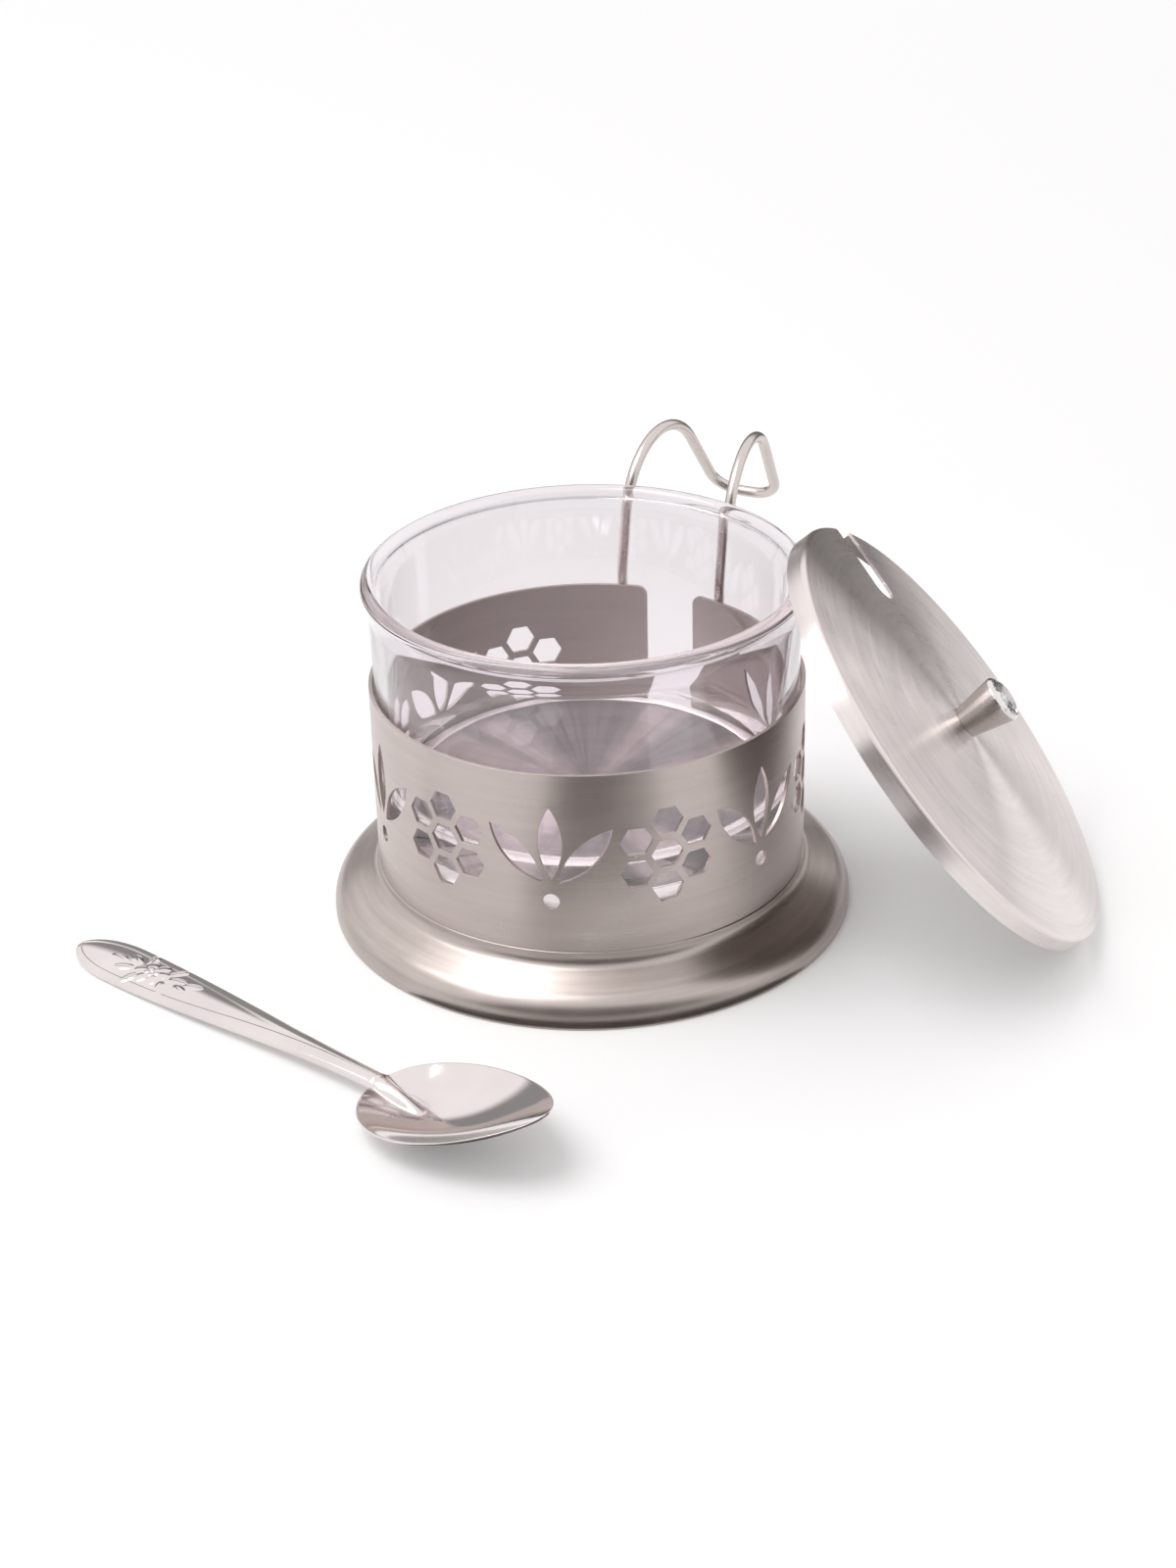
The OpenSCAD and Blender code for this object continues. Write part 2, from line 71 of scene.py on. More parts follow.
def turn_on_lathe(outline, turns=192):
    """Spins an outline round the upright axis, with a map whose u runs round it and v along it."""
    bm = bmesh.new()
    run = bm.verts.layers.float.new("run")
    points = [bm.verts.new((r, 0, z)) for r, z in outline]
    length = 0
    for before, after in zip(points, points[1:]):
        bm.edges.new((before, after))
        length += (after.co - before.co).length
        after[run] = length
    bmesh.ops.spin(bm, geom=bm.verts[:] + bm.edges[:], cent=(0, 0, 0), axis=(0, 0, 1), dvec=(0, 0, 0),
                   angle=2 * math.pi, steps=turns, use_merge=True, use_duplicate=False)
    bmesh.ops.remove_doubles(bm, verts=bm.verts, dist=same_point)
    bmesh.ops.recalc_face_normals(bm, faces=bm.faces)
    around = bm.loops.layers.uv.new("around")
    for face in bm.faces:
        middle = face.calc_center_median()
        facing = math.atan2(middle.y, middle.x)
        for loop in face.loops:
            x, y = loop.vert.co.xy
            off_axis = math.hypot(x, y) > near_point
            swing = math.remainder(math.atan2(y, x) - facing, 2 * math.pi) if off_axis else 0
            loop[around].uv = ((facing + swing) / (2 * math.pi), loop.vert[run] / map_len)
    return bm


def make_piece(name, bm, crease=35):
    """Turns a finished bmesh into an object, smooth but for edges sharper than the crease angle."""
    mesh = bpy.data.meshes.new(name)
    for face in bm.faces:
        face.smooth = True
    bm.to_mesh(mesh)
    bm.free()
    mesh.set_sharp_from_angle(angle=math.radians(crease))
    piece = bpy.data.objects.new(name, mesh)
    bpy.context.scene.collection.objects.link(piece)
    return piece


def new_material(name, **constants):
    """A material with its main shader, whose constant inputs are set straight on the sockets."""
    material = bpy.data.materials.new(name)
    material.use_nodes = True
    shader = material.node_tree.nodes["Principled BSDF"]
    for key, value in constants.items():
        shader.inputs[key.replace("_", " ")].default_value = value
    return material, material.node_tree, shader


def add_node(tree, kind, inputs=None, **settings):
    """Adds a shader node, sets its options, and feeds its inputs from plain values or sockets."""
    node = tree.nodes.new(kind)
    for key, value in settings.items():
        setattr(node, key, value)
    for key, value in (inputs or {}).items():
        if isinstance(value, bpy.types.NodeSocket):
            tree.links.new(value, node.inputs[key])
        else:
            node.inputs[key].default_value = value
    return node


def reckon(tree, operation, *values):
    """The result of a sum on plain values or sockets."""
    return add_node(tree, "ShaderNodeMath", dict(enumerate(values)), operation=operation).outputs[0]


def grade(tree, value, given, wanted):
    """Carries a value over from the given range to the wanted one, and holds it at the ends."""
    return add_node(tree, "ShaderNodeMapRange", {
        "Value": value, "From Min": given[0], "From Max": given[1],
        "To Min": wanted[0], "To Max": wanted[1]}).outputs[0]


def noise(tree, place, scale, detail, roughness=0.5):
    """Clouds between 0 and 1, so many to the metre."""
    return add_node(tree, "ShaderNodeTexNoise", {
        "Vector": place, "Scale": scale, "Detail": detail, "Roughness": roughness}).outputs["Fac"]


def ruffle(tree, shader, heights, depth):
    """Lets a pattern of heights raise the surface by up to a depth in metres."""
    bump = add_node(tree, "ShaderNodeBump", {"Height": heights, "Strength": 1.0, "Distance": depth})
    tree.links.new(bump.outputs[0], shader.inputs["Normal"])


def finish_steel(tree, shader, colour, level, worn, grain, depth):
    """Gives a steel its colour at each level, its worn roughness and its grain."""
    tint = add_node(tree, "ShaderNodeVectorMath", {0: colour, "Scale": level}, operation="SCALE")
    tree.links.new(tint.outputs[0], shader.inputs["Base Color"])
    tree.links.new(worn, shader.inputs["Roughness"])
    ruffle(tree, shader, grain, depth)


def circle_brushed(name, colour, roughness, streak, depth, mottle=0.06, unturn=Matrix(), arcs=3.0,
                   grain=5200):
    """Steel with fine rings brushed round an axis, which unturn brings upright."""
    material, tree, shader = new_material(
        name, Metallic=1.0, Anisotropic=streak, Anisotropic_Rotation=0.25)
    place = add_node(tree, "ShaderNodeTexCoord").outputs["Object"]
    local = add_node(tree, "ShaderNodeMapping", {
        "Vector": place, "Location": unturn.to_translation(), "Rotation": unturn.to_euler()}).outputs[0]
    flat = add_node(tree, "ShaderNodeVectorMath", {0: local, 1: (1, 1, 0)},
                    operation="MULTIPLY").outputs[0]
    radius = add_node(tree, "ShaderNodeVectorMath", {0: flat}, operation="LENGTH").outputs["Value"]
    heading = add_node(tree, "ShaderNodeVectorMath", {0: flat}, operation="NORMALIZE").outputs[0]
    height = add_node(tree, "ShaderNodeSeparateXYZ", {0: local}).outputs["Z"]
    across = reckon(tree, "SUBTRACT", radius, height)

    def rings(per_metre, swing, detail):
        """Noise that is fine across the rings and long drawn out along them."""
        lift = reckon(tree, "MULTIPLY", across, per_metre)
        up = add_node(tree, "ShaderNodeCombineXYZ", {"Z": lift}).outputs[0]
        at = add_node(tree, "ShaderNodeVectorMath", {0: heading, 1: (swing,) * 3, 2: up},
                      operation="MULTIPLY_ADD").outputs[0]
        return noise(tree, at, scale=1.0, detail=detail, roughness=0.65)

    fine = rings(per_metre=grain, swing=arcs, detail=3.0)
    broad = rings(per_metre=420, swing=arcs * 0.6, detail=2.0)
    cloud = noise(tree, place, scale=90.0, detail=4.0, roughness=0.6)
    rub = add_node(tree, "ShaderNodeMix", {"Factor": 0.45, "A": fine, "B": cloud},
                   data_type="FLOAT").outputs[0]
    shade = add_node(tree, "ShaderNodeMix", {"Factor": 0.5, "A": broad, "B": rub},
                     data_type="FLOAT").outputs[0]
    level = grade(tree, shade, given=(0.35, 0.65), wanted=(1 - mottle, 1 + mottle))
    worn = grade(tree, rub, given=(0.3, 0.7), wanted=(roughness * 0.82, roughness * 1.18))
    finish_steel(tree, shader, colour, level, worn, fine, depth)
    lay = add_node(tree, "ShaderNodeTangent", direction_type="UV_MAP", uv_map="around").outputs[0]
    tree.links.new(lay, shader.inputs["Tangent"])
    return material


foot_outline = (
    [(0, plate_z)]
    + arc((collar_r - shoulder_r, plate_z - shoulder_r), shoulder_r, 90, 0)
    + [(collar_r, seat_z)]
    + arc((neck_r - neck_round, seat_z - neck_round), neck_round, 90, 0, 5)
    + arc((neck_r + hollow_r, hollow_z), hollow_r, 180, 270 - flare_slope)
    + arc((foot_r - roll_r, hem_h), roll_r, 90 - flare_slope, 0, 28)
    + arc((foot_r - hem_round, hem_round), hem_round, 0, -90, 5)
    + arc((foot_r - hem_w + hem_round, hem_round), hem_round, 270, 180, 5)
    + [(foot_r - hem_w, hem_h)]
    + arc((foot_r - roll_r, hem_h), roll_r - sheet_t, 0, 90 - flare_slope, 28)
    + arc((neck_r + hollow_r, hollow_z), hollow_r + sheet_t, 270 - flare_slope, 180)
    + [(neck_r - sheet_t, seat_z - sheet_t), (collar_r - sheet_t, seat_z - sheet_t)]
    + arc((collar_r - shoulder_r, plate_z - shoulder_r), shoulder_r - sheet_t, 0, 90)
    + [(0, plate_z - sheet_t)]
)
bm = turn_on_lathe(foot_outline)
for face in bm.faces:
    face.material_index = 1 if face.calc_center_median().z > seat_z else 0
foot = make_piece("spun_foot", bm)
foot.data.materials.append(circle_brushed(
    "satin_spun_steel", (0.48, 0.425, 0.4), roughness=0.33, streak=0.3, depth=6e-6, mottle=0.14))
# The plate's steel is given a colour far lighter than the rest of the foot: painted light, so that the
# floor of the cup reads bright through the glass.
foot.data.materials.append(circle_brushed(
    "plate_steel_painted_light", (0.97, 0.94, 0.93), roughness=0.6, streak=0.2, depth=3e-6))
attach(foot, "holder")
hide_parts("foot")

# The band is a strip of brushed steel, pierced flat with honeycomb and leaf sprigs, then rolled into an
# open ring round the foot's collar. Its ends stop short of each other and leave a slot at the back.
band_low, band_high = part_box("band")
band_r, band_h = -band_low.y, band_high.z - band_low.z
band_t, band_edge_round = 0.8 * mm, 0.07 * mm
slot_w, slot_corner_r, slot_aside = 12 * mm, 2.2 * mm, 25.5
slot_turn = math.radians(90 - slot_aside)
strip_half = math.pi * band_r - slot_w / 2
piercing_y, motifs = 22 * mm, 12
cell_w, cell_web = 6.2 * mm, 1.5 * mm
leaf_len, leaf_w, leaf_web = 17 * mm, 5.2 * mm, 2.6 * mm
leaf_fan, bud_r = math.radians(42), 1.8 * mm
cuts, cut_snap = 168, 0.06 * mm


def move(x, y):
    return Matrix.Translation((x, y, 0))


def pierce_honeycomb(bm, at):
    """Outlines seven cells of honeycomb, six of them round the first."""
    pitch = cell_w + cell_web
    turns = [math.radians(a) for a in range(30, 390, 60)]
    for x, y in [(0, 0)] + [(pitch * math.cos(a), pitch * math.sin(a)) for a in turns]:
        bmesh.ops.create_circle(bm, segments=6, radius=cell_w / math.sqrt(3),
                                matrix=at @ move(x, y) @ Matrix.Rotation(math.pi / 6, 4, "Z"))


def pierce_leaf(bm, at):
    """Outlines one pointed leaf, whose two sides are arcs from its lower point to its upper one."""
    side_r = (leaf_len ** 2 / leaf_w + leaf_w) / 4
    offset = side_r - leaf_w / 2
    sweep = 2 * math.asin(leaf_len / 2 / side_r)
    for side in (1, -1):
        before = set(bm.verts)
        point = bm.verts.new((0, 0, 0))
        bmesh.ops.spin(bm, geom=[point], cent=(-side * offset, leaf_len / 2, 0), axis=(0, 0, 1),
                       dvec=(0, 0, 0), angle=side * sweep, steps=20, use_duplicate=False)
        bmesh.ops.transform(bm, matrix=at, verts=[v for v in bm.verts if v not in before])


def pierce_sprig(bm, at):
    """Outlines three leaves that fan out over a small round bud."""
    stem = at @ move(0, leaf_web / 2 - leaf_len / 2)
    for i in (-1, 0, 1):
        pierce_leaf(bm, stem @ Matrix.Rotation(leaf_fan * i, 4, "Z") @ move(0, leaf_web))
    bmesh.ops.create_circle(bm, segments=32, radius=bud_r, matrix=stem @ move(0, -leaf_web))


def give_wall(piece, thickness, edge_round, even, clamp):
    """Gives a thin sheet its thickness on the inside, and rounds its cut edges."""
    wall = piece.modifiers.new("wall", "SOLIDIFY")
    wall.thickness, wall.offset, wall.material_offset = thickness, -1, 1
    wall.use_even_offset = even
    rounding = piece.modifiers.new("edges", "BEVEL")
    rounding.width, rounding.segments, rounding.limit_method = edge_round, 2, "ANGLE"
    rounding.angle_limit = math.radians(50)
    rounding.use_clamp_overlap = clamp
    rounding.harden_normals = True


bm = bmesh.new()
corners = [bm.verts.new((x, y, 0)) for x, y in (
    (-strip_half, 0), (strip_half, 0), (strip_half, band_h), (-strip_half, band_h))]
for i in range(4):
    bm.edges.new((corners[i], corners[(i + 1) % 4]))
bmesh.ops.bevel(bm, geom=corners[2:], offset=slot_corner_r, offset_type="OFFSET", affect="VERTICES",
                segments=8, profile=0.5, material=-1)
for i in range(1, motifs - 1):
    at = move(band_r * (math.pi - 2 * math.pi * (i + 0.5) / motifs), piercing_y)
    if i % 2 == 0:
        pierce_honeycomb(bm, at)
    else:
        pierce_sprig(bm, at)
bmesh.ops.remove_doubles(bm, verts=bm.verts, dist=near_point)
bmesh.ops.triangle_fill(bm, use_beauty=True, use_dissolve=False, edges=bm.edges[:], normal=(0, 0, 1))
for i in range(1, cuts):
    bmesh.ops.bisect_plane(bm, geom=bm.verts[:] + bm.edges[:] + bm.faces[:], dist=cut_snap,
                           plane_co=(strip_half * (2 * i / cuts - 1), 0, 0), plane_no=(1, 0, 0))
around = bm.loops.layers.uv.new("around")
for face in bm.faces:
    for loop in face.loops:
        loop[around].uv = (loop.vert.co.x / (2 * math.pi * band_r), loop.vert.co.y / map_len)
for vert in bm.verts:
    turn = slot_turn - math.pi + vert.co.x / band_r
    vert.co = (band_r * math.cos(turn), band_r * math.sin(turn), band_low.z + vert.co.y)
bmesh.ops.recalc_face_normals(bm, faces=bm.faces)
outward = sum(face.normal.xy.dot(face.calc_center_median().xy) for face in bm.faces)
if outward < 0:
    bmesh.ops.reverse_faces(bm, faces=bm.faces)
band = make_piece("pierced_band", bm)
give_wall(band, band_t, band_edge_round, even=False, clamp=False)
band.data.materials.append(circle_brushed(
    "band_brushed_steel", (0.53, 0.468, 0.445), roughness=0.3, streak=0.6, depth=5e-6, arcs=2.2))
band.data.materials.append(circle_brushed(
    "band_inner_steel", (0.46, 0.43, 0.395), roughness=0.5, streak=0.2, depth=3e-6))
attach(band, "holder")
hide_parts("band")

# The spoon rest is one length of drawn steel wire. Two legs are spot welded to the back of the band,
# lean out past the rim, arch over and come down to a hook that is narrower than the legs.
wire_r, wire_sides, wire_end_round = 1.25 * mm, 20, 0.3 * mm
rim_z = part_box("glass_cup")[1].z
rest_turn = math.radians(-slot_aside)
leg_x, weld_gap, leg_lean = 12.5 * mm, 0.05 * mm, 4.8 * mm
leg_y = math.sqrt((band_r + weld_gap + wire_r) ** 2 - leg_x ** 2)
lean = leg_lean / (rim_z - band_high.z)
weld_len, leg_bend_r = 26 * mm, 14 * mm
arch_r, arch_peak = 17 * mm, 29.5 * mm
hook_r, hook_x, hook_reach, hook_drop = 7 * mm, 7.75 * mm, 46 * mm, 18.6 * mm
leg_foot = Vector((leg_x, leg_y, band_high.z - weld_len))
leg_edge = Vector((leg_x, leg_y, band_high.z + leg_bend_r * lean))
leg_peak = Vector((leg_x, leg_y + lean * (rim_z + arch_peak - band_high.z), rim_z + arch_peak))
hook_end = Vector((hook_x, leg_y + hook_reach, rim_z - hook_drop))
hook_middle = Vector((0, hook_end.y, hook_end.z))


def draw_on(bm, ring, by):
    """Draws the wire's open end straight on, and returns the new end's edges."""
    made = bmesh.ops.extrude_edge_only(bm, edges=ring)["geom"]
    bmesh.ops.translate(bm, vec=by, verts=[g for g in made if isinstance(g, bmesh.types.BMVert)])
    return [g for g in made if isinstance(g, bmesh.types.BMEdge)
            and all(v in made for v in g.verts) and len(g.link_faces) == 1]


def bend_round(bm, ring, end, come_from, corner, go_to, radius):
    """Draws the wire's end up to a corner and swings it round, and returns the end and its place."""
    back, on = (come_from - corner).normalized(), (go_to - corner).normalized()
    half = back.angle(on) / 2
    start = corner + back * radius / math.tan(half)
    middle = corner + (back + on).normalized() * radius / math.sin(half)
    turn = math.pi - 2 * half
    ring = draw_on(bm, ring, start - end)
    degrees_a_step, fewest = 5, 6
    steps = max(fewest, round(math.degrees(turn) / degrees_a_step))
    for _ in range(steps):
        ends = list(dict.fromkeys(v for e in ring for v in e.verts))
        made = bmesh.ops.spin(bm, geom=ends + ring, cent=middle, axis=on.cross(back), dvec=(0, 0, 0),
                              angle=turn / steps, steps=1)["geom_last"]
        ring = [g for g in made if isinstance(g, bmesh.types.BMEdge)]
    return ring, corner + on * radius / math.tan(half)


bm = bmesh.new()
bmesh.ops.create_circle(bm, cap_ends=True, segments=wire_sides, radius=wire_r,
                        matrix=Matrix.Translation(leg_foot))
ring, end = bm.edges[:], leg_foot
for before, corner, after, radius in ((leg_foot, leg_edge, leg_peak, leg_bend_r),
                                      (leg_edge, leg_peak, hook_end, arch_r),
                                      (leg_peak, hook_end, hook_middle, hook_r)):
    ring, end = bend_round(bm, ring, end, before, corner, after, radius)
draw_on(bm, ring, hook_middle - end)
bmesh.ops.remove_doubles(bm, verts=bm.verts, dist=same_point)
bmesh.ops.mirror(bm, geom=bm.verts[:] + bm.edges[:] + bm.faces[:], axis="X", merge_dist=near_point)
bmesh.ops.remove_doubles(bm, verts=bm.verts, dist=near_point)
bmesh.ops.recalc_face_normals(bm, faces=bm.faces)
cut_ends = [e for e in bm.edges if e.calc_face_angle(0) > 1]
bmesh.ops.bevel(bm, geom=cut_ends, offset=wire_end_round, offset_type="OFFSET", affect="EDGES",
                segments=3, profile=0.5, material=-1)
bmesh.ops.rotate(bm, matrix=Matrix.Rotation(rest_turn, 3, "Z"), verts=bm.verts)
rest = make_piece("spoon_rest_wire", bm)


def drawn_steel(name, colour, roughness, speckle, depth):
    """Steel with fine scratches that run every way, as on drawn wire, screws and polished ware."""
    material, tree, shader = new_material(name, Metallic=1.0)
    place = add_node(tree, "ShaderNodeTexCoord").outputs["Object"]
    fine = noise(tree, place, scale=speckle, detail=5.0, roughness=0.7)
    broad = noise(tree, place, scale=speckle / 20, detail=3.0, roughness=0.5)
    level = grade(tree, broad, given=(0.3, 0.7), wanted=(0.95, 1.04))
    worn = grade(tree, fine, given=(0.3, 0.7), wanted=(roughness * 0.75, roughness * 1.25))
    finish_steel(tree, shader, colour, level, worn, fine, depth)
    return material


rest.data.materials.append(drawn_steel(
    "drawn_wire_steel", (0.62, 0.565, 0.54), roughness=0.24, speckle=1500, depth=6e-7))
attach(rest, "holder")
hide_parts("spoon_rest")

# The cup is pressed from clear glass. It has a thick floor, a slightly flared wall, and a round bead
# along its rim that stands out past the wall. It drops into the band and stands on the foot's plate.
glass_low, glass_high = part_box("glass_cup")
rim_r, glass_h = glass_high.x, glass_high.z - glass_low.z
bead_r, bead_proud, bead_blend = 1.75 * mm, 1.3 * mm, 8
wall_t, wall_taper, wall_steps = 2.6 * mm, 1.2 * mm, 12
floor_t, heel_r, inner_r = 6.2 * mm, 4 * mm, 6 * mm
wall_r = rim_r - bead_proud
base_r = wall_r - wall_taper
bead_z, bead_middle = glass_h - bead_r, rim_r - bead_r
flare = (wall_r - base_r) / bead_z
inner_wall_r = base_r + flare * (floor_t + inner_r) - wall_t
under_bead = math.degrees(math.acos((wall_r - bead_middle) / bead_r))
outer_top, outer_low = bead_z - 1.15 * bead_r, heel_r
inner_top, inner_low = bead_z - bead_r, floor_t + inner_r
outer_heights = [outer_low + (outer_top - outer_low) * i / wall_steps for i in range(1, wall_steps + 1)]
glass_outline = (
    [(0, 0)]
    + arc((base_r - heel_r, heel_r), heel_r, 270, 360)
    + [(base_r + flare * z, z) for z in outer_heights]
    + arc((bead_middle, bead_z), bead_r, bead_blend - under_bead, 180, 36)
    + [(wall_r - wall_t + (inner_wall_r - wall_r + wall_t) * i / wall_steps,
        inner_top + (inner_low - inner_top) * i / wall_steps) for i in range(wall_steps)]
    + arc((inner_wall_r - inner_r, inner_low), inner_r, 360, 270)
    + [(0, floor_t)]
)
bm = turn_on_lathe([(r, glass_low.z + z) for r, z in glass_outline])
cup = make_piece("glass_cup_body", bm, crease=60)
material, tree, shader = new_material(
    "clear_pressed_glass", Base_Color=(0.94, 0.9, 0.93, 1), Roughness=0.0, IOR=1.5,
    Transmission_Weight=1.0)
place = add_node(tree, "ShaderNodeTexCoord").outputs["Object"]
ripple = noise(tree, place, scale=55.0, detail=2.0)
ruffle(tree, shader, ripple, depth=6e-5)
# Lamps shine through the glass, and light that is caught between its faces gets out after two turns
path = add_node(tree, "ShaderNodeLightPath").outputs
caught = reckon(tree, "GREATER_THAN", path["Glossy Depth"], 1.5)
let_out = reckon(tree, "MAXIMUM", caught, path["Is Shadow Ray"])
clear = add_node(tree, "ShaderNodeBsdfTransparent", {"Color": (0.98, 0.965, 0.975, 1)}).outputs[0]
either = add_node(tree, "ShaderNodeMixShader", {0: let_out, 1: shader.outputs[0], 2: clear}).outputs[0]
tree.links.new(either, tree.nodes["Material Output"].inputs["Surface"])
cup.data.materials.append(material)
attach(cup, "glass")
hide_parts("glass_cup")

# The lid is a shallow pan pressed from sheet, with a rounded shoulder, a low dome and a notch for the
# spoon's handle. It is brushed in circles, and leans with its edge on the table and over the rim.
lid_past_rim, lid_t, lid_edge_round = 4.9 * mm, 0.7 * mm, 0.15 * mm
skirt_h, lid_shoulder_r, dome_h = 4.5 * mm, 1.2 * mm, 2.6 * mm
knob_seat_r, screw_hole_r = 3.6 * mm, 1.7 * mm
notch_w, notch_len, notch_turn = 7.5 * mm, 20 * mm, math.radians(142)
lean_turn, lap, lap_gap = math.radians(-7), math.radians(19), 0.3 * mm
lid_r, lid_top = rim_r + lid_past_rim, skirt_h + dome_h
tilt = math.asin((rim_z + lap_gap) / (lid_r * (1 + math.cos(lap))))
lid_out = lid_r * math.cos(tilt) * math.cos(lap) + math.sqrt(
    (rim_r + lap_gap) ** 2 - (lid_r * math.sin(lap)) ** 2)
leaning = (Matrix.Rotation(lean_turn, 4, "Z")
           @ Matrix.Translation((lid_out, 0, lid_r * math.sin(tilt)))
           @ Matrix.Rotation(tilt, 4, "Y"))
dome_run = lid_r - lid_shoulder_r - knob_seat_r
dome_r = (dome_run ** 2 + dome_h ** 2) / (2 * dome_h)
dome_angle = math.degrees(math.asin(dome_run / dome_r))
bm = turn_on_lathe(
    [(screw_hole_r, lid_top)]
    + arc((knob_seat_r, lid_top - dome_r), dome_r, 90, 90 - dome_angle, 30)
    + arc((lid_r - lid_shoulder_r, skirt_h - lid_shoulder_r), lid_shoulder_r, 90, 0, 12)[1:]
    + [(lid_r, 0)], turns=256)
# Each cut leaves what lies outside it, until only the notch's own piece is left to be taken out
end_middle = lid_r - notch_len + notch_w / 2
to_notch = Matrix.Rotation(notch_turn, 3, "Z")
inside = [f for f in bm.faces if f.calc_center_median().length > end_middle - notch_w]
for a in [math.radians(d) for d in range(90, 271, 10)]:
    facing = to_notch @ Vector((math.cos(a), math.sin(a), 0))
    at = to_notch @ Vector((end_middle, 0, 0)) + facing * notch_w / 2
    geom = dict.fromkeys(g for f in inside for g in (f, *f.edges, *f.verts))
    made = bmesh.ops.bisect_plane(bm, geom=list(geom), dist=near_point, plane_co=at,
                                  plane_no=facing)["geom"]
    inside = [f for f in dict.fromkeys([*made, *inside])
              if isinstance(f, bmesh.types.BMFace) and f.is_valid
              and (f.calc_center_median() - at).dot(facing) < 0]
bmesh.ops.delete(bm, geom=inside, context="FACES")
bmesh.ops.recalc_face_normals(bm, faces=bm.faces)
if sum(face.normal.z for face in bm.faces) < 0:
    bmesh.ops.reverse_faces(bm, faces=bm.faces)
bmesh.ops.transform(bm, matrix=leaning, verts=bm.verts)
lid = make_piece("lid_pan_body", bm)
give_wall(lid, lid_t, lid_edge_round, even=True, clamp=True)
lid.data.materials.append(circle_brushed(
    "lid_brushed_steel", (0.79, 0.733, 0.717), roughness=0.3, streak=0.95, depth=3e-6, mottle=0.1,
    unturn=leaning.inverted(), arcs=2.0, grain=2600))
# The underside is given a far darker colour than the top of the same sheet: painted shade, for the
# shadow under the leaning lid.
lid.data.materials.append(circle_brushed(
    "lid_underside_painted_shade", (0.27, 0.235, 0.22), roughness=0.4, streak=0.4, depth=3e-6,
    unturn=leaning.inverted()))
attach(lid, "lid")
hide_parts("lid_pan")

# A plain slotted steel screw comes up through the lid's middle from beneath and holds the knob. Its CAD
# shape is right, so it stays and is given its finish.
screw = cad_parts["knob_screw"]
screw.data.materials.clear()
screw.data.materials.append(drawn_steel(
    "plain_screw_steel", (0.58, 0.55, 0.53), roughness=0.3, speckle=3000, depth=3e-6))

# The knob is turned from steel bar: a satin taper that widens upwards, with a polished chamfer round
# the cup that the crystal is set in.
knob_base_r, knob_h, knob_round = 3.6 * mm, 10.4 * mm, 0.12 * mm
crystal_r, crystal_gap = 4.5 * mm, 0.06 * mm
bezel_w, bezel_h, bezel_in = 0.8 * mm, 0.8 * mm, (0.02 * mm, 0.07 * mm)
lip_w, lip_drop = 0.25 * mm, (0.05 * mm, 0.08 * mm)
girdle_t, pavilion_h, cup_floor_r = 0.6 * mm, 1.8 * mm, 0.56 * mm
bore_r, bore_end = 1.56 * mm, 4.52 * mm
cup_r = crystal_r + crystal_gap
knob_top_r, taper_h = cup_r + bezel_w, knob_h - bezel_h
girdle_z = knob_h - girdle_t
cup_floor_z = girdle_z - pavilion_h
bm = turn_on_lathe([
    (bore_r, 0), (knob_base_r - knob_round, 0), (knob_base_r, knob_round),
    ((knob_base_r + knob_top_r) / 2, taper_h / 2),
    (knob_top_r - bezel_in[0], taper_h - knob_round), (knob_top_r - bezel_in[1], taper_h + knob_round),
    (cup_r + lip_w, knob_h - lip_drop[0]), (cup_r + lip_w / 2, knob_h), (cup_r, knob_h - lip_drop[1]),
    (cup_r, girdle_z), (cup_floor_r, cup_floor_z), (0, cup_floor_z),
    (0, bore_end), (bore_r, bore_end), (bore_r, 0)], turns=96)
bmesh.ops.remove_doubles(bm, verts=bm.verts, dist=same_point)
bmesh.ops.recalc_face_normals(bm, faces=bm.faces)
for face in bm.faces:
    face.material_index = 1 if face.calc_center_median().z > taper_h else 0
bmesh.ops.transform(bm, matrix=leaning @ Matrix.Translation((0, 0, lid_top)), verts=bm.verts)
knob = make_piece("turned_knob", bm, crease=25)
knob.data.materials.append(circle_brushed(
    "turned_knob_steel", (0.46, 0.425, 0.41), roughness=0.26, streak=0.5, depth=3e-6,
    unturn=leaning.inverted()))
knob.data.materials.append(drawn_steel(
    "polished_bezel_steel", (0.75, 0.72, 0.71), roughness=0.07, speckle=4000, depth=5e-7))
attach(knob, "lid")
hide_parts("lid_knob")

# The crystal is a cut and polished glass stone: a flat table, a crown and a pavilion of kite-like
# facets, and a narrow girdle by which the knob's lip holds it.
crown_h, table_r, culet_r = 0.7 * mm, 2.6 * mm, 0.5 * mm
crown_middle = (3.72 * mm, 0.42 * mm)
bm = bmesh.new()
for count, radius, height, shift in (
        (8, table_r, girdle_t + crown_h, 0), (8, crown_middle[0], girdle_t + crown_middle[1], 0.5),
        (16, crystal_r, girdle_t, 0.5), (16, crystal_r, 0, 0.5),
        (8, (crystal_r + culet_r) / 2, -pavilion_h / 2, 0.5),
        (8, culet_r, crystal_gap - pavilion_h, 0)):
    turn = Matrix.Rotation(2 * math.pi * shift / count, 4, "Z")
    bmesh.ops.create_circle(bm, segments=count, radius=radius,
                            matrix=Matrix.Translation((0, 0, height)) @ turn)
bmesh.ops.delete(bm, geom=bm.edges[:], context="EDGES_FACES")
facet_corners = [bm.verts.new(v.co) for v in bm.verts[:]]
bmesh.ops.convex_hull(bm, input=facet_corners)
bmesh.ops.delete(bm, geom=[v for v in bm.verts if not v.link_faces], context="VERTS")
bmesh.ops.dissolve_limit(bm, angle_limit=math.radians(1), verts=bm.verts, edges=bm.edges)
bmesh.ops.recalc_face_normals(bm, faces=bm.faces)
bmesh.ops.transform(bm, matrix=leaning @ Matrix.Translation((0, 0, lid_top + girdle_z)), verts=bm.verts)
stone = make_piece("cut_crystal", bm, crease=1)
